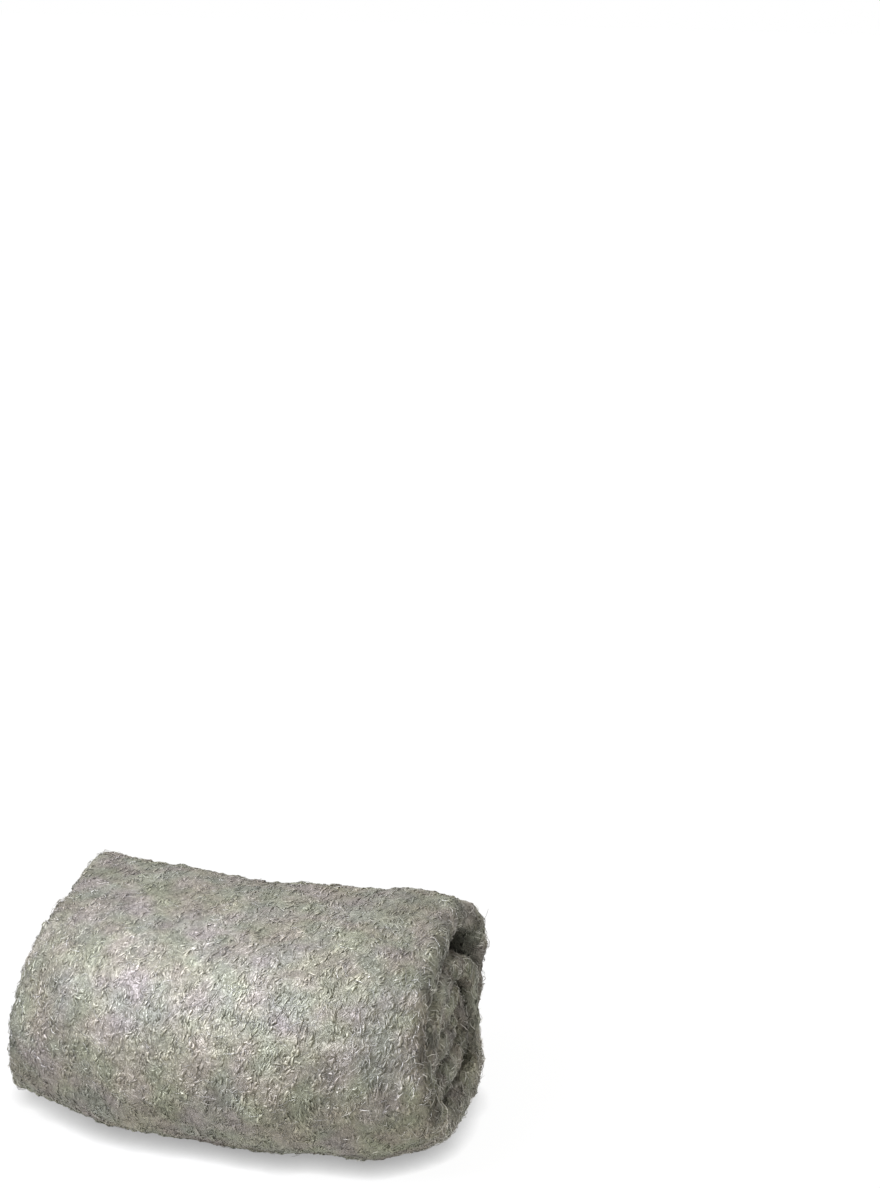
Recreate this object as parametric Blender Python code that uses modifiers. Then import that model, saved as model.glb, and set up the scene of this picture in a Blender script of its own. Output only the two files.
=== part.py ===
"""A steel wool hand pad: one thick ribbon of fine steel wool, wound flat into a soft oval roll.

The roll lies on its side with its axis along X, as the pad comes to rest. The ribbon starts at the core,
winds outwards in half turns and ends in a feathered tail on the back. Its turns show at both ends.
"""

import math

import bmesh
import bpy
from mathutils import Vector

# The ribbon, in metres.
RIBBON_WIDTH = 0.102
RIBBON_THICKNESS = 0.0086
TURN_GAP = 0.0006

# The winding: straight runs joined by half turns, and a last part turn that carries the tail.
RUN_LENGTH = 0.0240
HALF_TURNS = 5
TAIL_ANGLE = math.radians(112)
TAIL_TAPER = 0.034
TAIL_THICKNESS = 0.0024
TAIL_NARROWING = 0.0028
CORE_THICKNESS = 0.0058

# How the turns have settled: a slipped core, wavy edges, and an outer turn that gapes at one end.
CORE_SLIP = 0.0050
EDGE_WAVE = 0.0011
EDGE_WAVE_LENGTH = 0.047
LIFT_HEIGHT = 0.0024
LIFT_REACH = 0.026
LIFT_SPAN = 0.026
PACKED_SHARE = 0.16
PACKED_SIDE_SHARE = 0.06
PACKED_REACH = 0.034

# How the whole roll has settled: drawn-in, slanting ends, a sagging top, a slight bend and soft lumps.
LEFT_TAPER = 0.0026
RIGHT_TAPER = 0.0045
END_TAPER_REACH = 0.030
TOP_SAG = 0.0034
TOP_SAG_PLACE = -0.0065
END_BEND = 0.0065
END_LEAN = 0.165
END_SKEW = -0.077
LUMP_HEIGHT = 0.0006
LUMP_SPACING = 0.031
LUMP_SWERVE = 1.1
LUMP_STRETCH = 0.7
FLAT_DEPTH = 0.0017

# Mesh density: rows across the ribbon, and steps in the smallest half turn.
ROWS = 10
FIRST_ARC_STEPS = 5

NODE = "rolled_wool_ribbon"
PITCH = RIBBON_THICKNESS + TURN_GAP
HALF_WIDTH = RIBBON_WIDTH / 2
HALF_HEIGHT = (HALF_TURNS * PITCH + RIBBON_THICKNESS) / 2
HALF_DEPTH = HALF_HEIGHT + RUN_LENGTH / 2

# The half turns that lie inside the outer turn, and the height of what they rest on.
PACKED_UNTIL = HALF_TURNS - 1.5
PACKED_FADE = 0.5
INSIDE_FLOOR = (2 - HALF_TURNS) * PITCH / 2


def clear_scene():
    """Removes whatever the scene holds."""
    for obj in list(bpy.data.objects):
        bpy.data.objects.remove(obj)


def smooth_step(value):
    """A ramp from 0 to 1 with soft ends."""
    value = min(max(value, 0.0), 1.0)
    return value * value * (3 - 2 * value)


def arc_stations(number, angle):
    """Stations of one half turn, or of the part turn that carries the tail.

    A station is a point of the middle line, its outward direction and the half turns wound so far.
    """
    radius = number * PITCH / 2
    front = number % 2 == 1
    centre = Vector((RUN_LENGTH / 2, PITCH / 2)) if front else Vector((-RUN_LENGTH / 2, 0.0))
    start = -math.pi / 2 if front else math.pi / 2
    steps = max(2, round((FIRST_ARC_STEPS + number) * angle / math.pi))
    stations = []
    for step in range(steps + 1):
        swept = angle * step / steps
        outward = Vector((math.cos(start + swept), math.sin(start + swept)))
        stations.append((centre + radius * outward, outward, number - 1 + swept / math.pi))
    return stations


def winding_stations():
    """The ribbon's middle line from the core to the tail, seen along the roll's axis."""
    down = Vector((0.0, -1.0))
    core_tip = Vector((-RUN_LENGTH / 2 - (PITCH - RIBBON_THICKNESS / 2 - TURN_GAP), 0.0))
    stations = [(core_tip, down, 0.0), (Vector((0.0, 0.0)), down, 0.0)]
    for number in range(1, HALF_TURNS + 1):
        stations += arc_stations(number, math.pi)
    stations += arc_stations(HALF_TURNS + 1, TAIL_ANGLE)
    return stations


def distances_along(stations):
    """How far each station lies along the ribbon from its start at the core."""
    distances = [0.0]
    for station, previous in zip(stations[1:], stations):
        distances.append(distances[-1] + (station[0] - previous[0]).length)
    return distances


def ribbon_thickness(from_core, to_tail):
    """The ribbon's thickness, which is pinched at the core and feathered out at the tail."""
    core = CORE_THICKNESS + (RIBBON_THICKNESS - CORE_THICKNESS) * smooth_step(from_core / RUN_LENGTH)
    tail = TAIL_THICKNESS + (RIBBON_THICKNESS - TAIL_THICKNESS) * smooth_step(to_tail / TAIL_TAPER)
    return min(core, tail)


def top_run_middle(distances, stations):
    """The distance along the ribbon at the middle of the outermost run over the top."""
    last_arc = arc_stations(HALF_TURNS + 1, TAIL_ANGLE)
    tail_start = len(stations) - len(last_arc)
    return (distances[tail_start - 1] + distances[tail_start]) / 2


def lift(distance, across, middle):
    """How far the outermost turn has sprung off the one below it, near one end of the roll."""
    near_end = smooth_step((across - HALF_WIDTH + LIFT_REACH) / LIFT_REACH)
    near_top = smooth_step(1 - abs(distance - middle) / LIFT_SPAN)
    return LIFT_HEIGHT * near_end * near_top


def packed_share(wound, across):
    """How far the turns inside the outer one have packed together, near one end of the roll."""
    near_end = smooth_step((across - HALF_WIDTH + PACKED_REACH) / PACKED_REACH)
    inside = 1 - smooth_step((wound - PACKED_UNTIL) / PACKED_FADE)
    return near_end * inside


def wound_ribbon():
    """The ribbon as an open sheet with no thickness, wound up, with its thickness held as vertex weights."""
    stations = winding_stations()
    distances = distances_along(stations)
    length = distances[-1]
    middle = top_run_middle(distances, stations)
    shape = bmesh.new()
    bmesh.ops.create_grid(shape, x_segments=ROWS - 1, y_segments=len(stations) - 1, size=1.0)
    weights = shape.verts.layers.deform.verify()
    for vert in shape.verts:
        index = round((vert.co.y + 1) / 2 * (len(stations) - 1))
        point, outward, wound = stations[index]
        distance = distances[index]
        half_width = HALF_WIDTH - TAIL_NARROWING * smooth_step(1 - (length - distance) / TAIL_TAPER)
        across = half_width * math.sin(vert.co.x * math.pi / 2)
        thickness = ribbon_thickness(distance, length - distance)
        settled = lift(distance, across, middle)
        if distance > length / 2:
            settled -= (RIBBON_THICKNESS - thickness) / 2
        packed = packed_share(wound, across)
        place = point + settled * outward
        place.x *= 1 - PACKED_SIDE_SHARE * packed
        place.y -= PACKED_SHARE * packed * max(place.y - INSIDE_FLOOR, 0.0)
        thickness *= 1 - PACKED_SHARE * packed
        slip = -CORE_SLIP * (1 - distance / length)
        slip += EDGE_WAVE * math.sin(2 * math.pi * distance / EDGE_WAVE_LENGTH)
        vert.co = Vector((across + slip, -place.x, place.y))
        vert[weights][0] = thickness / RIBBON_THICKNESS
    bmesh.ops.recalc_face_normals(shape, faces=shape.faces)
    return shape


def thicken(shape):
    """The sheet given its thickness and round, soft edges, as an evaluated mesh."""
    mesh = bpy.data.meshes.new(NODE)
    shape.to_mesh(mesh)
    shape.free()
    sheet = bpy.data.objects.new(NODE + "_sheet", mesh)
    bpy.context.scene.collection.objects.link(sheet)
    sheet.vertex_groups.new(name="thickness")
    solidify = sheet.modifiers.new("Wool", "SOLIDIFY")
    solidify.thickness = RIBBON_THICKNESS
    solidify.offset = 0.0
    solidify.use_even_offset = True
    solidify.vertex_group = "thickness"
    rounding = sheet.modifiers.new("Soft edges", "SUBSURF")
    rounding.levels = 1
    rounding.render_levels = 1
    graph = bpy.context.evaluated_depsgraph_get()
    solid = bpy.data.meshes.new_from_object(sheet.evaluated_get(graph))
    bpy.data.objects.remove(sheet)
    return solid


def lump_at(x, y, z):
    """The height of the soft lumps at a place, between -1 and 1."""
    wave = 2 * math.pi / LUMP_SPACING
    return math.sin(wave * x + LUMP_SWERVE * math.sin(wave * y)) * math.cos(LUMP_STRETCH * wave * (y + z))


def settle(point):
    """Moves a point of the plain roll to where the springy wool has settled."""
    x, y, z = point.x, point.y, point.z - PITCH / 2
    along = x / HALF_WIDTH
    swell = 1 + LUMP_HEIGHT / HALF_HEIGHT * lump_at(x, y, z)
    taper = RIGHT_TAPER if x > 0 else LEFT_TAPER
    drawn_in = taper * smooth_step(1 - (HALF_WIDTH - abs(x)) / END_TAPER_REACH) ** 2
    y *= swell * (1 - drawn_in / HALF_DEPTH)
    z *= swell * (1 - drawn_in / HALF_HEIGHT)
    height_share = smooth_step((z / HALF_HEIGHT + 1) / 2)
    z -= TOP_SAG * height_share * (1 - (along - TOP_SAG_PLACE / HALF_WIDTH) ** 2)
    x += END_SKEW * y - END_LEAN * along * z
    return Vector((x, y + END_BEND * along**2, z))


def rest_on_flat(solid):
    """Presses the roll's underside flat where it rests, and puts the origin at the middle of that base."""
    shape = bmesh.new()
    shape.from_mesh(solid)
    for vert in shape.verts:
        vert.co = settle(vert.co)
    floor = min(vert.co.z for vert in shape.verts) + FLAT_DEPTH
    everything = shape.verts[:] + shape.edges[:] + shape.faces[:]
    cut = bmesh.ops.bisect_plane(
        shape,
        geom=everything,
        plane_co=(0, 0, floor),
        plane_no=(0, 0, -1),
        clear_outer=True,
    )
    rim = [part for part in cut["geom_cut"] if isinstance(part, bmesh.types.BMEdge)]
    bmesh.ops.edgeloop_fill(shape, edges=rim)
    bmesh.ops.recalc_face_normals(shape, faces=shape.faces)
    lows = [min(vert.co[axis] for vert in shape.verts) for axis in range(2)]
    highs = [max(vert.co[axis] for vert in shape.verts) for axis in range(2)]
    middle = Vector(((lows[0] + highs[0]) / 2, (lows[1] + highs[1]) / 2, floor))
    bmesh.ops.translate(shape, vec=-middle, verts=shape.verts)
    shape.to_mesh(solid)
    shape.free()


def steel_wool():
    """Fine steel wool: warm grey metal fibre, matt as a mass."""
    material = bpy.data.materials.new("steel_wool")
    material.use_nodes = True
    shader = material.node_tree.nodes["Principled BSDF"]
    shader.inputs["Base Color"].default_value = (0.32, 0.31, 0.27, 1.0)
    shader.inputs["Metallic"].default_value = 0.8
    shader.inputs["Roughness"].default_value = 0.55
    return material


def main():
    clear_scene()
    collection = bpy.data.collections.new("steel_wool_pad")
    bpy.context.scene.collection.children.link(collection)
    solid = thicken(wound_ribbon())
    rest_on_flat(solid)
    solid.materials.append(steel_wool())
    solid.shade_smooth()
    collection.objects.link(bpy.data.objects.new(NODE, solid))


main()
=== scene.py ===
"""The looks of the steel wool hand pad: a matted body of wool under a coat of steel strands.

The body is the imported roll, rounded and lumped. The coat is real geometry, and runs around the roll as the
drawn fibres do: wide flat tufts, lying strands and finer curled ones, loose wisps that stand off it, and
frayed wires where the ribbon's cut ends show.
"""

import math
import random

import bmesh
import bpy
import numpy as np
from mathutils import Matrix, Vector, noise
from mathutils.bvhtree import BVHTree


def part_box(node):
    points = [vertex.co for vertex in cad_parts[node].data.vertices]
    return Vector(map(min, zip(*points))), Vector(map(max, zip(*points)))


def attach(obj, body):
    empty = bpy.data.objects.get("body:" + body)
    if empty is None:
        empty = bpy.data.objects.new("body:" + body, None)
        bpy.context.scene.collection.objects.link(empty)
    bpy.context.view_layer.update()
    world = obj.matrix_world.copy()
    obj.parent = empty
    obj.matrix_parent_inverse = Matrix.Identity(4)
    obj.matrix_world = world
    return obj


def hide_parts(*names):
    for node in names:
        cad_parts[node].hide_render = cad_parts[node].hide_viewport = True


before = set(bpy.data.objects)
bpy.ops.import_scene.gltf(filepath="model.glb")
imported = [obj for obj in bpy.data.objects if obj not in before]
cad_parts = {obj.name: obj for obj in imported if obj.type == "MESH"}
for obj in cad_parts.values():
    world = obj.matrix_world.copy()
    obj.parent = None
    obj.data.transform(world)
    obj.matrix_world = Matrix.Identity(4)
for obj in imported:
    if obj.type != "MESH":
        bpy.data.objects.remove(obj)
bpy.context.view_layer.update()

MM = 0.001
NODE = "rolled_wool_ribbon"

# The roll's core line, which the fibres run around: half its width, and its height.
LOW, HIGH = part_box(NODE)
CORE_HALF_WIDTH = 12 * MM
CORE_HEIGHT = (LOW.z + HIGH.z) / 2

# The body: its wide swells, soft lumps and small knots, how high above the table they reach their full
# height, and how close two corners must lie to be joined.
SWELL_SIZE = 15 * MM
SWELL_HEIGHT = 0.7 * MM
LUMP_SIZE = 5.5 * MM
LUMP_HEIGHT = 0.45 * MM
KNOT_SIZE = 1.9 * MM
KNOT_HEIGHT = 0.5 * MM
BASE_FADE = 2.5 * MM
CORNER_REACH = 1e-6

# Lines of sight from a place on the roll: how many are tried and how they are spread, where they start and
# end, and the share that must be free for the place to count as one that shows.
SIGHT_LINES = 16
GOLDEN_SHARE = 3 - math.sqrt(5)
SIGHT_START = 0.2 * MM
SIGHT_REACH = 25 * MM
OPEN_ENOUGH = 0.06

# The fibres: how they lean from the way around the core, how they swirl from patch to patch and from tuft
# to tuft, the tufts that they gather in, and how far they stay above the table.
FIBRE_LEAN = math.radians(10)
SWIRL_SIZE = 9 * MM
SWIRL = math.radians(30)
TWIST_SIZE = 2.4 * MM
TWIST = math.radians(30)
TUFT_WIDTH = 1.1 * MM
TUFT_LENGTH = 3.4 * MM
TUFT_RISE = 0.62 * MM
TABLE_GAP = 0.1 * MM

# The fibres drawn on the body. Real ones are 0.05 mm thick, too fine to show, so these are drawn 0.2 to
# 0.3 mm wide: the turn and spacing of each layer, how many spacings long a fibre runs, how far it sways,
# and how far from its middle it reaches in the noise that draws it.
FIBRE_LAYERS = (
    (math.radians(-38), 0.75 * MM),
    (math.radians(6), 0.9 * MM),
    (math.radians(43), 0.8 * MM),
)
FIBRE_RUN = 7
FIBRE_SWAY = 6.0 * MM
LINE_REACH = 0.05

# The relief that the drawn fibres and the pits between them make: the size of the pits and their weight
# against a fibre, the colour kept as painted shade from the deepest pit to the proudest fibre, and the
# relief's height.
PIT_SIZE = 1.4 * MM
PIT_WEIGHT = 2.5
RELIEF_FROM, RELIEF_UNTIL = 0.8, 2.4
PIT_SHADE_SHARE, PROUD_SHARE = 0.5, 0.95
RELIEF_HEIGHT = 0.18 * MM

# The grain of a strand, where the blade tore it: its size and height, and the colour that it takes.
GRAIN_SIZE = 0.6 * MM
GRAIN_HEIGHT = 0.07 * MM
GRAIN_FROM, GRAIN_UNTIL = 0.3, 0.7
GRAIN_SHARE = 0.25

# The steel's own tints, and where each one lies in the noise of the patches and of the wider stains.
GREEN_GREY = "#a2a690"
WARM_GREY = "#aaa694"
PINK_GREY = "#b0a59b"
OLIVE_GREY = "#a9a68e"
BLUE_GREY = "#a8a59d"
CLEAN_GREY = "#aeaca6"
PATCH_SIZE = 8.0 * MM
GREEN_AT, WARM_AT, PINK_AT = 0.36, 0.5, 0.64
STAIN_SIZE = 14.0 * MM
OLIVE_AT, BLUE_AT = 0.4, 0.6
STAIN_SHARE = 0.45

# The finishes: matted wool is stained and scatters the light, and a loose wire is cleaner and brighter.
MATTED = {"metallic": 0.62, "roughness": 0.58, "clean": 0.0}
LOOSE = {"metallic": 0.95, "roughness": 0.45, "clean": 0.7}

# The share of its colour that wool keeps in the deepest hollow, as painted shade, and how it dulls at random
# from patch to patch, most of all where it shows its cut ends.
HOLLOW_SHADE_SHARE = 0.5
HOLLOW_FROM, HOLLOW_UNTIL = 0.1, 0.95
DULLED_SHARE = 0.25
DULLED_SIZE = 6.0 * MM
BLOTCH_SHARE = 0.5

# Where the wool shows its cut ends: how far it faces along the roll there, how ragged the border is, and
# the share of its colour that it keeps there under painted shade.
CUT_END_FROM, CUT_END_SPAN = 0.5, 0.35
CUT_END_RAGGED = 0.4
CUT_END_PATCH = 3.5 * MM
CUT_END_SHADE_SHARE = 0.8

# The coat's cover: what it lacks on the cut ends, and what is left of it on the flat spot underneath.
CUT_END_BARE = 0.3
FLAT_SPOT_FACING = -0.95
FLAT_SPOT_COVER = 0.3

# Wires that have worked loose beside the ends: how many, and how far in along the roll.
STRAY_SHARE = 0.05
STRAY_FROM, STRAY_SPAN = 28 * MM, 20 * MM

# The form of every strand: the sides of its tube, how it tapers to its tips and how close corners at a tip
# must lie to be joined, and the edge left free around it in its cell of the map.
SIDES = 3
TAPER_POWER = 0.5
TIP_REACH = 1e-7
CELL_EDGE = 0.1

# The form of a lying strand: how it arches and dips in at its ends, how lengths and crimps differ, and the
# half waves of its crimp.
ARCH_POWER = 0.7
DIP_POWER = 4
LENGTH_RANGE = (0.6, 1.4)
CRIMP_RANGE = (0.3, 1.0)
CRIMP_WAVES = (2.5, 5.0)

# The form of a wisp: how lengths differ, how deep it starts in the wool, and how it swerves, curls back,
# drifts aside and wanders, in radians.
WISP_LENGTH_RANGE = (0.5, 1.5)
WISP_ROOT = 0.2 * MM
WISP_SWERVE = 0.8
WISP_CURL = (1.6, 3.4)
WISP_DRIFT = 1.6
WISP_WANDER = 0.12

# The camera: its turn and tilt, its lens, and where the roll's middle lies before it.
CAMERA_TURN = math.radians(16.69)
CAMERA_TILT = math.radians(17.0)
LENS = 78.79
SENSOR = 36.0
AIM_HEIGHT = 25 * MM
ASIDE, ABOVE, AHEAD = -46.49 * MM, -97.63 * MM, 618.96 * MM

# The studio: the soft fill, a faint and broad key lamp, and a small soft box close to the roll.
WHITE = "#ffffff"
FILL_TINT = "#fdfbf4"
FILL = 0.75
KEY_TINT = "#fbfbff"
KEY_LEVEL = 0.15
KEY_SPREAD = math.radians(25)
KEY_TURN = math.radians(-60)
KEY_RISE = math.radians(68)
KEY_DISTANCE = 1.0
BOX_TINT = "#e4e7ff"
BOX_LEVEL = 1.74
BOX_SIZE = 70 * MM
BOX_DISTANCE = 120 * MM
BOX_TURN = math.radians(-20)
BOX_RISE = math.radians(50)
BOX_AIM = -7 * MM

# The floor: its board, and what the eye sees of it: an even white level, with a faint cast shadow and a
# darker contact shadow close under the roll.
FLOOR_HALF_SIZE = 3.0
FLOOR_TINT = "#f0f0ee"
FLOOR_LEVEL = 1.01
FLOOR_SHADOW = 0.06
FLOOR_GLOW = FLOOR_LEVEL - FLOOR_SHADOW * (KEY_LEVEL * math.sin(KEY_RISE) + FILL)
CONTACT_REACH = 5 * MM
CONTACT_SHARE = 0.35
CONTACT_SAMPLES = 8


def linear(hex_colour):
    """A colour written as an sRGB hex value, in the linear values that shaders take."""
    channels = [int(hex_colour[i : i + 2], 16) / 255 for i in (1, 3, 5)]
    return tuple(c / 12.92 if c <= 0.04045 else ((c + 0.055) / 1.055) ** 2.4 for c in channels) + (1.0,)


def add_node(tree, kind, inputs=None, **settings):
    """Adds a node with its settings, each input set to a value or linked to another node's output."""
    node = tree.nodes.new(kind)
    for name, value in settings.items():
        setattr(node, name, value)
    for name, value in (inputs or {}).items():
        if isinstance(value, bpy.types.NodeSocket):
            tree.links.new(value, node.inputs[name])
        else:
            node.inputs[name].default_value = value
    return node


def new_material(name):
    """An empty node material, with its tree and its Principled shader."""
    material = bpy.data.materials.new(name)
    material.use_nodes = True
    return material, material.node_tree, material.node_tree.nodes["Principled BSDF"]


def smooth_step(value):
    """A ramp from 0 to 1 with soft ends."""
    value = min(max(value, 0.0), 1.0)
    return value * value * (3 - 2 * value)


def new_mesh(name, shape):
    """A mesh with the shape that a bmesh holds, which it uses up."""
    mesh = bpy.data.meshes.new(name)
    shape.to_mesh(mesh)
    shape.free()
    return mesh


def new_object(name, data):
    """An object of a mesh, a curve, a lamp or a camera, in the scene."""
    thing = bpy.data.objects.new(name, data)
    bpy.context.scene.collection.objects.link(thing)
    return thing


def new_piece(name, mesh, material):
    """A finished piece at the origin, with the finish it is given, which rides on the roll's body."""
    mesh.name = name
    mesh.materials.clear()
    mesh.materials.append(material)
    mesh.shade_smooth()
    piece = new_object(name, mesh)
    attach(piece, "root")
    return piece


def evaluated_mesh(source):
    """The mesh that a helper object gives once its modifiers or its bevel are evaluated, with it removed."""
    graph = bpy.context.evaluated_depsgraph_get()
    mesh = bpy.data.meshes.new_from_object(source.evaluated_get(graph))
    bpy.data.objects.remove(source)
    return mesh


def sight_lines():
    """Directions spread evenly over the half sphere above a surface."""
    lines = []
    for index in range(SIGHT_LINES):
        height = 1 - (index + 0.5) / SIGHT_LINES
        turn = index * math.pi * GOLDEN_SHARE
        flat = math.sqrt(1 - height * height)
        lines.append(Vector((flat * math.cos(turn), flat * math.sin(turn), height)))
    return lines


def openness(tree, place, outward, lines):
    """The share of the lines of sight from a place on the surface that the roll itself doesn't block."""
    turn = outward.to_track_quat("Z", "Y")
    start = place + outward * SIGHT_START
    free = sum(tree.ray_cast(start, turn @ line, SIGHT_REACH)[0] is None for line in lines)
    return free / len(lines)


def matted_height(place):
    """How far the matted wool stands proud at a place: wide swells, soft lumps and small knots."""
    swells = noise.noise(place / SWELL_SIZE) * SWELL_HEIGHT
    lumps = noise.noise(place / LUMP_SIZE) * LUMP_HEIGHT
    knots = noise.noise(place / KNOT_SIZE) * KNOT_HEIGHT
    return swells + lumps + knots


def rounded_roll():
    """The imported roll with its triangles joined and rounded, and a finer mesh wherever it shows."""
    shape = bmesh.new()
    shape.from_mesh(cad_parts[NODE].data)
    bmesh.ops.remove_doubles(shape, verts=shape.verts, dist=CORNER_REACH)
    helper = new_object("roll", new_mesh("roll", shape))
    rounding = helper.modifiers.new("Rounding", "SUBSURF")
    rounding.levels = 1
    rounding.render_levels = 1
    shape = bmesh.new()
    shape.from_mesh(evaluated_mesh(helper))
    tree = BVHTree.FromBMesh(shape)
    lines = sight_lines()
    shown = {f for f in shape.faces if openness(tree, f.calc_center_median(), f.normal, lines) > OPEN_ENOUGH}
    edges = [edge for edge in shape.edges if not shown.isdisjoint(edge.link_faces)]
    bmesh.ops.subdivide_edges(shape, edges=edges, cuts=1, use_grid_fill=True)
    return shape


def matted_body():
    """The body of the roll, its surface lumped as matted wool is, but flat where it rests."""
    shape = rounded_roll()
    shape.normal_update()
    moves = []
    for vert in shape.verts:
        share = smooth_step((vert.co.z - LOW.z) / BASE_FADE)
        moves.append(vert.normal * matted_height(vert.co) * share)
    for vert, move in zip(shape.verts, moves):
        vert.co += move
        vert.co.z = max(vert.co.z, LOW.z)
    return shape


def around_the_core(place, outward):
    """The way the drawn fibres run at a place: around the roll's core, swirled from patch to patch."""
    nearest = Vector((place.x, min(max(place.y, -CORE_HALF_WIDTH), CORE_HALF_WIDTH), CORE_HEIGHT))
    along = Vector((1.0, 0.0, 0.0)).cross(place - nearest)
    along -= along.dot(outward) * outward
    turn = noise.noise(place / SWIRL_SIZE) * SWIRL + noise.noise(place / TWIST_SIZE) * TWIST - FIBRE_LEAN
    along.rotate(Matrix.Rotation(turn, 3, outward))
    return along.normalized()


def fibre_place(place):
    """A place in the fibres' own measure: along the roll, around its core from the top, and out from it."""
    across = min(max(place.y, -CORE_HALF_WIDTH), CORE_HALF_WIDTH)
    aside, above = across - place.y, place.z - CORE_HEIGHT
    turn = math.atan2(aside, above)
    around = CORE_HEIGHT * turn - across
    if above < 0:
        around = CORE_HEIGHT * turn + across + math.copysign(2 * CORE_HALF_WIDTH, turn)
    return Vector((place.x, around, math.hypot(aside, above)))


def tuft(place):
    """How strongly fibres have gathered at a place, in bundles of the tufts' width around the core."""
    along, around, reach = fibre_place(place)
    along += around * math.tan(FIBRE_LEAN)
    return noise.noise(Vector((along / TUFT_WIDTH, around / TUFT_LENGTH, reach / TUFT_WIDTH)))


def cut_share(place, outward):
    """How far the wool shows its cut ends at a place: 1 on the roll's ends, 0 on its sides."""
    ragged = noise.noise(place / CUT_END_PATCH) * CUT_END_RAGGED
    return smooth_step((abs(outward.x) + ragged - CUT_END_FROM) / CUT_END_SPAN)


def painted_shade_and_blotches(open_share, place, outward):
    """The share of its colour that the wool keeps: painted shade in hollows and on cut ends, and random dull
    patches.
    """
    # Painted shade in hollows: places that the roll closes in keep less of their colour.
    clear = smooth_step((open_share - HOLLOW_FROM) / (HOLLOW_UNTIL - HOLLOW_FROM))
    hollow = HOLLOW_SHADE_SHARE + (1 - HOLLOW_SHADE_SHARE) * clear
    # Painted shade on the cut ends; the dull blotches differ at random, and more so on the cut ends.
    cut = cut_share(place, outward)
    dulled = 1 + (DULLED_SHARE + BLOTCH_SHARE * cut) * noise.noise(place / DULLED_SIZE)
    return hollow * dulled * (1 - (1 - CUT_END_SHADE_SHARE) * cut)


class Surface:
    """The body's surface as strands see it: places on it to start from, and the nearest place to follow."""

    def __init__(self, shape):
        flat = shape.copy()
        bmesh.ops.triangulate(flat, faces=flat.faces)
        self.tree = BVHTree.FromBMesh(flat)
        lines = sight_lines()
        flat.verts.index_update()
        open_shares = [openness(self.tree, vert.co, vert.normal, lines) for vert in flat.verts]
        self.shade_and_blotch = [painted_shade_and_blotches(share, v.co, v.normal) for share, v in zip(open_shares, flat.verts)]
        self.corners = [[(vert.co.copy(), vert.index) for vert in face.verts] for face in flat.faces]
        self.normals = [face.normal.copy() for face in flat.faces]
        self.weights = []
        for face in flat.faces:
            share = sum(open_shares[vert.index] for vert in face.verts) / 3
            self.weights.append(face.calc_area() * share if share > OPEN_ENOUGH else 0.0)
        flat.free()

    def starts(self, count, dice, weigh):
        """Random places that show, each with its outward direction and its share of painted shade and
        blotches.
        """
        weights = [w * weigh(c[0][0], n) for w, c, n in zip(self.weights, self.corners, self.normals)]
        for index in dice.choices(range(len(weights)), weights, k=count):
            (a, first_vert), (b, second_vert), (c, third_vert) = self.corners[index]
            first, second = dice.random(), dice.random()
            if first + second > 1:
                first, second = 1 - first, 1 - second
            shade_and_blotch = self.shade_and_blotch[first_vert] * (1 - first - second)
            shade_and_blotch += self.shade_and_blotch[second_vert] * first + self.shade_and_blotch[third_vert] * second
            yield a + (b - a) * first + (c - a) * second, self.normals[index], shade_and_blotch

    def nearest(self, place):
        """The nearest place on the surface and its outward direction."""
        found = self.tree.find_nearest(place)
        return found[0], found[1]


def over_the_roll(place, outward):
    """The coat's cover: thinner on the flat spot and where the cut ends face outwards."""
    spot = FLAT_SPOT_COVER if outward.z < FLAT_SPOT_FACING else 1.0
    return (1 - CUT_END_BARE * cut_share(place, outward)) * spot


def at_the_ends(place, outward):
    """The cover of the frayed wires: where the cut ends face outwards, and a few beside them."""
    beside = STRAY_SHARE * smooth_step((abs(place.x) - STRAY_FROM) / STRAY_SPAN)
    return max(cut_share(place, outward), beside)


def lying_strand(surface, place, outward, dice, look):
    """The points of one strand that lies on the wool: it dips in at both ends and crimps on its way."""
    swerve = dice.gauss(0, look["swerve"])
    if dice.random() < look["astray"]:
        swerve = dice.uniform(-math.pi / 2, math.pi / 2)
    steps = look["points"] - 1
    step = look["length"] * dice.uniform(*LENGTH_RANGE) / steps
    height = dice.uniform(*look["heights"])
    crimp = look["crimp"] * dice.uniform(*CRIMP_RANGE)
    phase = dice.uniform(0, 2 * math.pi)
    waves = dice.uniform(*CRIMP_WAVES)
    bend = dice.gauss(0, look["bend"])
    points = []
    for index in range(steps + 1):
        share = index / steps
        along = around_the_core(place, outward)
        along.rotate(Matrix.Rotation(swerve + bend * (share - 0.5), 3, outward))
        side = outward.cross(along)
        arch = math.sin(math.pi * share) ** ARCH_POWER
        proud = (height + TUFT_RISE * tuft(place)) * arch - look["dip"] * (2 * share - 1) ** DIP_POWER
        wiggle = crimp * math.sin(phase + waves * share * math.pi)
        points.append((place + outward * proud + side * wiggle, outward))
        place, outward = surface.nearest(place + along * step)
    return points


def loose_wisp(surface, place, outward, dice, look):
    """The points of one fine wisp that springs off the surface in an open curl."""
    steps = look["points"] - 1
    step = look["length"] * dice.uniform(*WISP_LENGTH_RANGE) / steps
    along = around_the_core(place, outward)
    along.rotate(Matrix.Rotation(dice.gauss(0, WISP_SWERVE), 3, outward))
    rise = dice.uniform(*look["rise"])
    way = (along * math.cos(rise) + outward * math.sin(rise)).normalized()
    curl = dice.uniform(*WISP_CURL) * rise / steps
    turn_axis = way.cross(outward).normalized()
    drift = dice.gauss(0, WISP_DRIFT) / steps
    place = place - outward * WISP_ROOT
    points = [(place, outward)]
    for _ in range(steps):
        place = place + way * step
        points.append((place, outward))
        way.rotate(Matrix.Rotation(-curl, 3, turn_axis))
        way.rotate(Matrix.Rotation(drift + dice.gauss(0, WISP_WANDER), 3, outward))
    return points


def above_the_table(points):
    """The points with none lower than the table that the roll rests on."""
    floor = LOW.z + TABLE_GAP
    return [(Vector((point.x, point.y, max(point.z, floor))), outward) for point, outward in points]


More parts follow.
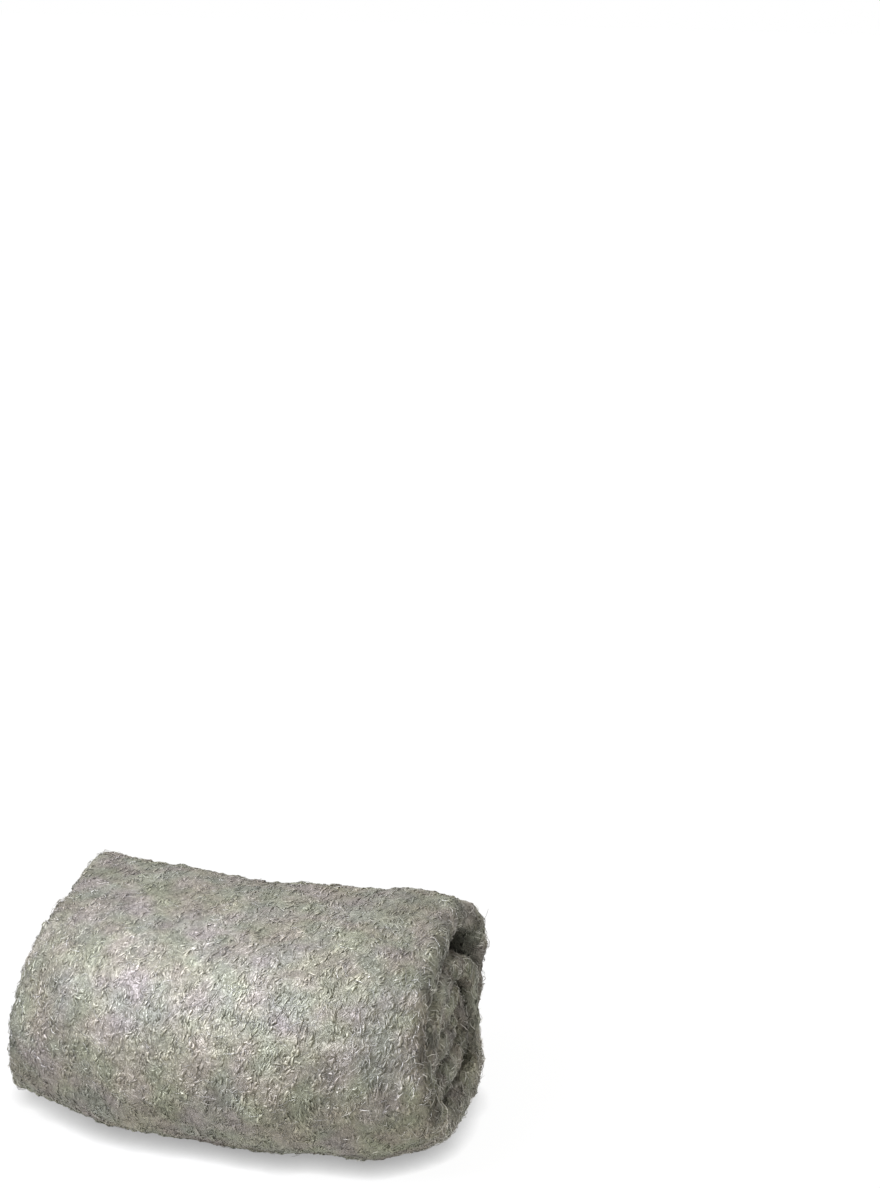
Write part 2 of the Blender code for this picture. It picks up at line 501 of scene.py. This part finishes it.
def strand_mesh(strands, widths, flatness):
    """Strands as three-sided tubes that taper to a point at both ends, pressed flat against the wool."""
    profile_data = bpy.data.curves.new("profile", "CURVE")
    profile = profile_data.splines.new("POLY")
    profile.points.add(SIDES - 1)
    for index, point in enumerate(profile.points):
        turn = 2 * math.pi * index / SIDES
        point.co = (math.cos(turn), math.sin(turn), 0.0, 1.0)
    profile.use_cyclic_u = True
    outline = new_object("profile", profile_data)
    data = bpy.data.curves.new("strands", "CURVE")
    data.dimensions = "3D"
    data.bevel_mode = "OBJECT"
    data.bevel_object = outline
    for points, width in zip(strands, widths):
        spline = data.splines.new("POLY")
        last = len(points) - 1
        spline.points.add(last)
        spline.points.foreach_set("co", [value for point, _ in points for value in (*point, 1.0)])
        radii = [width / 2 * math.sin(math.pi * index / last) ** TAPER_POWER for index in range(last)]
        spline.points.foreach_set("radius", [*radii, 0.0])
    mesh = evaluated_mesh(new_object("strands", data))
    bpy.data.objects.remove(outline)
    press_flat(mesh, strands, flatness)
    return mesh


def press_flat(mesh, strands, flatness):
    """Presses each ring of the tubes towards its middle, along the way out from the wool."""
    middles = np.array([point for points in strands for point, _ in points]).repeat(SIDES, axis=0)
    outwards = np.array([outward for points in strands for _, outward in points]).repeat(SIDES, axis=0)
    places = np.empty(len(mesh.vertices) * 3)
    mesh.vertices.foreach_get("co", places)
    places = places.reshape(-1, 3)
    heights = ((places - middles) * outwards).sum(axis=1, keepdims=True)
    places -= heights * outwards * flatness
    mesh.vertices.foreach_set("co", places.ravel())


def paint_strands(mesh, strands, shades):
    """Gives every strand its own shade, and its own cell of the map that a bake draws it through."""
    shade = mesh.attributes.new("strand_shade", "FLOAT", "FACE")
    faces = [value for points, value in zip(strands, shades) for _ in range(SIDES * (len(points) - 1))]
    shade.data.foreach_set("value", faces)
    while mesh.uv_layers:
        mesh.uv_layers.remove(mesh.uv_layers[0])
    cells = math.ceil(math.sqrt(len(strands)))
    cell_width = SIDES + 2 * CELL_EDGE
    corners = []
    for number, points in enumerate(strands):
        rows = len(points) - 1
        cell_height = rows + 2 * CELL_EDGE
        wide, tall = 1 / cell_width / cells, 1 / cell_height / cells
        for face in range(SIDES * rows):
            left = (number % cells + (face % SIDES + CELL_EDGE) / cell_width) / cells
            low = (number // cells + (face // SIDES + CELL_EDGE) / cell_height) / cells
            corners += [left, low, left + wide, low, left + wide, low + tall, left, low + tall]
    mesh.uv_layers.new(name="OFBake", do_init=False).data.foreach_set("uv", corners)


def join_tips(mesh):
    """Closes the tubes' pointed tips."""
    shape = bmesh.new()
    shape.from_mesh(mesh)
    bmesh.ops.remove_doubles(shape, verts=shape.verts, dist=TIP_REACH)
    bmesh.ops.recalc_face_normals(shape, faces=shape.faces)
    shape.to_mesh(mesh)
    shape.free()


def strand_coat(name, surface, count, dice, look, material):
    """One layer of the coat as a piece."""
    strands, widths, shades = [], [], []
    for place, outward, shade_and_blotch in surface.starts(count, dice, look["weigh"]):
        strands.append(above_the_table(look["path"](surface, place, outward, dice, look)))
        widths.append(dice.uniform(*look["widths"]))
        # Each strand's shade: painted shade from hollows and cut ends, painted shade that lightens strands on
        # proud tufts and darkens those between them, and a random tone.
        shades.append(shade_and_blotch * (look["shade"] + look["tufts"] * tuft(place) + dice.gauss(0, look["variety"])))
    mesh = strand_mesh(strands, widths, look["flatness"])
    paint_strands(mesh, strands, shades)
    join_tips(mesh)
    return new_piece(name, mesh, material)


def patch_tint(tree):
    """Patches of faint green and pink over a warm grey, itself more olive or cooler in wide stains."""
    place = add_node(tree, "ShaderNodeTexCoord").outputs["Object"]
    patches = add_node(
        tree, "ShaderNodeTexNoise", {"Vector": place, "Scale": 1 / PATCH_SIZE, "Detail": 1.0}
    )
    tint = add_node(tree, "ShaderNodeValToRGB", {"Fac": patches.outputs["Fac"]})
    ramp = tint.color_ramp
    ramp.elements[0].position = GREEN_AT
    ramp.elements[0].color = linear(GREEN_GREY)
    ramp.elements[1].position = PINK_AT
    ramp.elements[1].color = linear(PINK_GREY)
    ramp.elements.new(WARM_AT).color = linear(WARM_GREY)
    elsewhere = add_node(tree, "ShaderNodeVectorMath", {0: place, 1: (1.0, 1.0, 1.0)}, operation="ADD")
    stains = add_node(
        tree,
        "ShaderNodeTexNoise",
        {"Vector": elsewhere.outputs[0], "Scale": 1 / STAIN_SIZE, "Detail": 2.0},
    )
    wide = add_node(tree, "ShaderNodeValToRGB", {"Fac": stains.outputs["Fac"]})
    wide.color_ramp.elements[0].position = OLIVE_AT
    wide.color_ramp.elements[0].color = linear(OLIVE_GREY)
    wide.color_ramp.elements[1].position = BLUE_AT
    wide.color_ramp.elements[1].color = linear(BLUE_GREY)
    mixed = add_node(
        tree,
        "ShaderNodeMix",
        {0: STAIN_SHARE, 6: tint.outputs["Color"], 7: wide.outputs["Color"]},
        data_type="RGBA",
    )
    return mixed.outputs[2]


def steel_strand(name, metallic, roughness, clean):
    """Shaved steel wire: a soft, broken glint along each strand, and a warm grey where it is stained."""
    material, tree, shader = new_material(name)
    place = add_node(tree, "ShaderNodeTexCoord").outputs["Object"]
    grain = add_node(
        tree, "ShaderNodeTexNoise", {"Vector": place, "Scale": 1 / GRAIN_SIZE, "Detail": 2.0}
    ).outputs["Fac"]
    # The strand's shade holds painted shade from hollows, cut ends and low places between tufts, and a random
    # tone.
    shade = add_node(tree, "ShaderNodeAttribute", attribute_name="strand_shade").outputs["Fac"]
    worn = add_node(
        tree,
        "ShaderNodeMapRange",
        {
            "Value": grain,
            "From Min": GRAIN_FROM,
            "From Max": GRAIN_UNTIL,
            "To Min": 1 - GRAIN_SHARE,
            "To Max": 1.0,
        },
    ).outputs["Result"]
    share = add_node(tree, "ShaderNodeMath", {0: shade, 1: worn}, operation="MULTIPLY").outputs[0]
    tint = add_node(
        tree, "ShaderNodeMix", {0: clean, 6: patch_tint(tree), 7: linear(CLEAN_GREY)}, data_type="RGBA"
    ).outputs[2]
    colour = add_node(tree, "ShaderNodeVectorMath", {0: tint, 3: share}, operation="SCALE")
    bump = add_node(tree, "ShaderNodeBump", {"Height": grain, "Distance": GRAIN_HEIGHT})
    tree.links.new(bump.outputs["Normal"], shader.inputs["Normal"])
    tree.links.new(colour.outputs[0], shader.inputs["Base Color"])
    shader.inputs["Metallic"].default_value = metallic
    shader.inputs["Roughness"].default_value = roughness
    return material


def fibre_lines(tree, place, turn, width):
    """Thin wavy lines in the fibres' own measure, turned from the way around the core: 1 on a line."""
    turned = add_node(
        tree,
        "ShaderNodeMapping",
        {"Vector": place, "Rotation": (0.0, 0.0, turn), "Scale": (width, FIBRE_RUN * width, width)},
        vector_type="TEXTURE",
    )
    grain = add_node(tree, "ShaderNodeTexNoise", {"Vector": turned.outputs[0], "Scale": 1.0, "Detail": 1.0})
    off = add_node(tree, "ShaderNodeMath", {0: grain.outputs["Fac"], 1: 0.5}, operation="SUBTRACT")
    away = add_node(tree, "ShaderNodeMath", {0: off.outputs[0]}, operation="ABSOLUTE")
    line = add_node(
        tree,
        "ShaderNodeMapRange",
        {"Value": away.outputs[0], "From Max": LINE_REACH, "To Min": 1.0, "To Max": 0.0},
        interpolation_type="SMOOTHSTEP",
    )
    return line.outputs["Result"]


def packed_wool():
    """Matted steel wool below the coat: a dull grey that scatters light, with painted shade in its pits."""
    material, tree, shader = new_material("matted_steel_wool")
    measure = add_node(tree, "ShaderNodeAttribute", attribute_name="fibre_place").outputs["Vector"]
    sway = add_node(tree, "ShaderNodeTexNoise", {"Vector": measure, "Scale": 1 / SWIRL_SIZE, "Detail": 1.0})
    aside = add_node(
        tree, "ShaderNodeVectorMath", {0: sway.outputs["Color"], 3: FIBRE_SWAY}, operation="SCALE"
    )
    swayed = add_node(
        tree, "ShaderNodeVectorMath", {0: measure, 1: aside.outputs[0]}, operation="ADD"
    ).outputs[0]
    fibres = None
    for turn, width in FIBRE_LAYERS:
        layer = fibre_lines(tree, swayed, turn, width)
        if fibres:
            layer = add_node(tree, "ShaderNodeMath", {0: fibres, 1: layer}, operation="MAXIMUM").outputs[0]
        fibres = layer
    pits = add_node(
        tree,
        "ShaderNodeTexNoise",
        {"Vector": measure, "Scale": 1 / PIT_SIZE, "Detail": 3.0, "Roughness": 0.6},
    ).outputs["Fac"]
    height = add_node(
        tree, "ShaderNodeMath", {0: pits, 1: PIT_WEIGHT, 2: fibres}, operation="MULTIPLY_ADD"
    ).outputs[0]
    # Painted shade: the colour darkens from the proud fibres down into the pits, and in hollows and on cut
    # ends.
    shade_and_blotch = add_node(tree, "ShaderNodeAttribute", attribute_name="painted_shade_and_blotches").outputs["Fac"]
    level = add_node(
        tree,
        "ShaderNodeMapRange",
        {
            "Value": height,
            "From Min": RELIEF_FROM,
            "From Max": RELIEF_UNTIL,
            "To Min": PIT_SHADE_SHARE,
            "To Max": PROUD_SHARE,
        },
    ).outputs["Result"]
    share = add_node(tree, "ShaderNodeMath", {0: level, 1: shade_and_blotch}, operation="MULTIPLY").outputs[0]
    colour = add_node(tree, "ShaderNodeVectorMath", {0: patch_tint(tree), 3: share}, operation="SCALE")
    bump = add_node(tree, "ShaderNodeBump", {"Height": height, "Distance": RELIEF_HEIGHT})
    tree.links.new(colour.outputs[0], shader.inputs["Base Color"])
    tree.links.new(bump.outputs["Normal"], shader.inputs["Normal"])
    shader.inputs["Metallic"].default_value = MATTED["metallic"]
    shader.inputs["Roughness"].default_value = MATTED["roughness"]
    return material


def wool_body():
    """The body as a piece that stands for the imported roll, and its surface for the coat to lie on."""
    shape = matted_body()
    surface = Surface(shape)
    mesh = new_mesh("wool_body", shape)
    # The body's painted shade in hollows and on cut ends, with its random dull blotches.
    mesh.attributes.new("painted_shade_and_blotches", "FLOAT", "POINT").data.foreach_set("value", surface.shade_and_blotch)
    measure = [value for vert in mesh.vertices for value in fibre_place(vert.co)]
    mesh.attributes.new("fibre_place", "FLOAT_VECTOR", "POINT").data.foreach_set("vector", measure)
    body = new_piece("wool_body", mesh, packed_wool())
    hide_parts(NODE)
    return surface


def white_to_the_eye(tree, seen, lit):
    """Mixes what the eye and glossy or clear surfaces see with what only lights the object."""
    path = add_node(tree, "ShaderNodeLightPath")
    both = add_node(
        tree,
        "ShaderNodeMath",
        {0: path.outputs["Is Camera Ray"], 1: path.outputs["Is Glossy Ray"]},
        operation="MAXIMUM",
    )
    share = add_node(
        tree,
        "ShaderNodeMath",
        {0: both.outputs[0], 1: path.outputs["Is Transmission Ray"]},
        operation="MAXIMUM",
    )
    return add_node(tree, "ShaderNodeMixShader", {0: share.outputs[0], 1: lit, 2: seen}).outputs[0]


def studio_floor():
    """A matt white board: it darkens close under the object, and shows only a faint cast shadow."""
    shape = bmesh.new()
    bmesh.ops.create_grid(shape, x_segments=1, y_segments=1, size=FLOOR_HALF_SIZE)
    mesh = new_mesh("studio_floor", shape)
    material, tree, shader = new_material("white_board")
    tree.nodes.remove(shader)
    lit = add_node(tree, "ShaderNodeBsdfDiffuse", {"Color": linear(FLOOR_TINT)})
    shadow_grey = (FLOOR_SHADOW, FLOOR_SHADOW, FLOOR_SHADOW, 1.0)
    faint = add_node(tree, "ShaderNodeBsdfDiffuse", {"Color": shadow_grey})
    close = add_node(
        tree, "ShaderNodeAmbientOcclusion", {"Distance": CONTACT_REACH}, samples=CONTACT_SAMPLES
    )
    strength = add_node(
        tree,
        "ShaderNodeMapRange",
        {"Value": close.outputs["AO"], "To Min": FLOOR_GLOW * CONTACT_SHARE, "To Max": FLOOR_GLOW},
    )
    glow = add_node(
        tree, "ShaderNodeEmission", {"Color": linear(WHITE), "Strength": strength.outputs["Result"]}
    )
    seen = add_node(tree, "ShaderNodeAddShader", {0: faint.outputs[0], 1: glow.outputs[0]})
    surface = white_to_the_eye(tree, seen.outputs[0], lit.outputs[0])
    tree.links.new(surface, tree.nodes["Material Output"].inputs["Surface"])
    mesh.materials.append(material)
    floor = new_object("studio_floor", mesh)
    floor.location.z = LOW.z


def studio_world():
    """White to the eye, and a soft even fill to the object."""
    world = bpy.data.worlds.new("studio")
    bpy.context.scene.world = world
    world.use_nodes = True
    tree = world.node_tree
    tree.nodes.remove(tree.nodes["Background"])
    seen = add_node(tree, "ShaderNodeBackground", {"Color": linear(WHITE), "Strength": 1.0})
    fill = add_node(tree, "ShaderNodeBackground", {"Color": linear(FILL_TINT), "Strength": FILL})
    surface = white_to_the_eye(tree, seen.outputs[0], fill.outputs[0])
    tree.links.new(surface, tree.nodes["World Output"].inputs["Surface"])


def place_lamp(data, turn, rise, distance, aim):
    """Puts a lamp at a turn from the camera's side and a rise above the floor, facing a place."""
    lamp = new_object(data.name, data)
    heading = CAMERA_TURN + turn
    level = Vector((math.sin(heading), -math.cos(heading), 0.0))
    away = level * math.cos(rise) + Vector((0.0, 0.0, math.sin(rise)))
    lamp.location = aim + away * distance
    lamp.rotation_euler = away.to_track_quat("Z", "Y").to_euler()


def studio_lamps():
    """A faint, broad key lamp over everything, and a soft box that gives the roll its bright band."""
    key = bpy.data.lights.new("key", "SUN")
    key.angle = KEY_SPREAD
    key.energy = KEY_LEVEL * math.pi
    key.color = linear(KEY_TINT)[:3]
    place_lamp(key, KEY_TURN, KEY_RISE, KEY_DISTANCE, Vector())
    box = bpy.data.lights.new("soft_box", "AREA")
    box.shape = "DISK"
    box.size = BOX_SIZE
    box.color = linear(BOX_TINT)[:3]
    box.energy = BOX_LEVEL * (math.pi * BOX_DISTANCE) ** 2
    place_lamp(box, BOX_TURN, BOX_RISE, BOX_DISTANCE, Vector((BOX_AIM, 0.0, CORE_HEIGHT)))


def studio_camera():
    """The camera at the photographed angle, with the object where the picture has it."""
    data = bpy.data.cameras.new("camera")
    data.lens = LENS
    data.sensor_width = SENSOR
    camera = new_object("camera", data)
    right = Vector((math.cos(CAMERA_TURN), math.sin(CAMERA_TURN), 0.0))
    level = Vector((-math.sin(CAMERA_TURN), math.cos(CAMERA_TURN), 0.0))
    up = level * math.sin(CAMERA_TILT) + Vector((0.0, 0.0, math.cos(CAMERA_TILT)))
    view = level * math.cos(CAMERA_TILT) - Vector((0.0, 0.0, math.sin(CAMERA_TILT)))
    place = Vector((0.0, 0.0, AIM_HEIGHT)) - right * ASIDE - up * ABOVE - view * AHEAD
    turn = Matrix((right, up, -view)).transposed().to_4x4()
    camera.matrix_world = Matrix.Translation(place) @ turn
    bpy.context.scene.camera = camera


# The coat's layers. Real fibres are too fine and too many to draw, so a strand here is a bundle of them,
# 0.05 to 1 mm wide. A layer says how its strands run and where they lie, how long, high, crimped, turned
# and bent they are, the share that goes astray, and their width, flatness and shade.
# In each layer, "tufts" is painted shade: it lightens strands on proud tufts and darkens those lying low
# between.
TUFTS = {
    "finish": "matted",
    "path": lying_strand,
    "weigh": over_the_roll,
    "points": 4,
    "length": 2.5 * MM,
    "heights": (-0.1 * MM, 0.1 * MM),
    "dip": 0.2 * MM,
    "crimp": 0.1 * MM,
    "swerve": math.radians(22),
    "bend": math.radians(25),
    "astray": 0.15,
    "widths": (0.5 * MM, 1.0 * MM),
    "flatness": 0.83,
    "shade": 0.92,
    "tufts": 0.4,
    "variety": 0.05,
}
LYING = {
    "finish": "matted",
    "path": lying_strand,
    "weigh": over_the_roll,
    "points": 4,
    "length": 2.8 * MM,
    "heights": (0.0, 0.1 * MM),
    "dip": 0.12 * MM,
    "crimp": 0.1 * MM,
    "swerve": math.radians(14),
    "bend": math.radians(30),
    "astray": 0.08,
    "widths": (0.15 * MM, 0.32 * MM),
    "flatness": 0.85,
    "shade": 0.95,
    "tufts": 0.25,
    "variety": 0.05,
}
CURLED = {
    "finish": "loose",
    "path": lying_strand,
    "weigh": over_the_roll,
    "points": 7,
    "length": 6.0 * MM,
    "heights": (0.05 * MM, 0.25 * MM),
    "dip": 0.12 * MM,
    "crimp": 0.4 * MM,
    "swerve": math.radians(40),
    "bend": math.radians(90),
    "astray": 0.3,
    "widths": (0.08 * MM, 0.15 * MM),
    "flatness": 0.3,
    "shade": 1.0,
    "tufts": 0.2,
    "variety": 0.12,
}
WISPS = {
    "finish": "loose",
    "path": loose_wisp,
    "weigh": over_the_roll,
    "points": 9,
    "length": 3.2 * MM,
    "rise": (math.radians(5), math.radians(25)),
    "widths": (0.05 * MM, 0.1 * MM),
    "flatness": 0.0,
    "shade": 1.0,
    "tufts": 0.0,
    "variety": 0.1,
}
FRAYED = {
    "finish": "loose",
    "path": lying_strand,
    "weigh": at_the_ends,
    "points": 5,
    "length": 3.6 * MM,
    "heights": (0.2 * MM, 0.7 * MM),
    "dip": 0.2 * MM,
    "crimp": 0.2 * MM,
    "swerve": math.radians(50),
    "bend": math.radians(90),
    "astray": 0.4,
    "widths": (0.1 * MM, 0.24 * MM),
    "flatness": 0.2,
    "shade": 1.7,
    "tufts": 0.0,
    "variety": 0.3,
}

# The coat's pieces: the layer of each, how many strands it has, and the seed of its random draws.
COAT = (
    ("wool_tufts_1", TUFTS, 15000, 3),
    ("wool_tufts_2", TUFTS, 15000, 4),
    ("lying_strands_1", LYING, 14000, 0),
    ("lying_strands_2", LYING, 14000, 1),
    ("curled_strands", CURLED, 2400, 5),
    ("loose_wisps", WISPS, 700, 10),
    ("frayed_wires", FRAYED, 2500, 11),
)


def main():
    """Dresses the roll, and sets up the studio around it."""
    surface = wool_body()
    finishes = {
        "matted": steel_strand("matted_steel_strand", **MATTED),
        "loose": steel_strand("loose_steel_strand", **LOOSE),
    }
    for name, look, count, seed in COAT:
        strand_coat(name, surface, count, random.Random(seed), look, finishes[look["finish"]])
    studio_floor()
    studio_world()
    studio_lamps()
    studio_camera()
    bpy.context.scene.view_settings.view_transform = "Standard"


main()
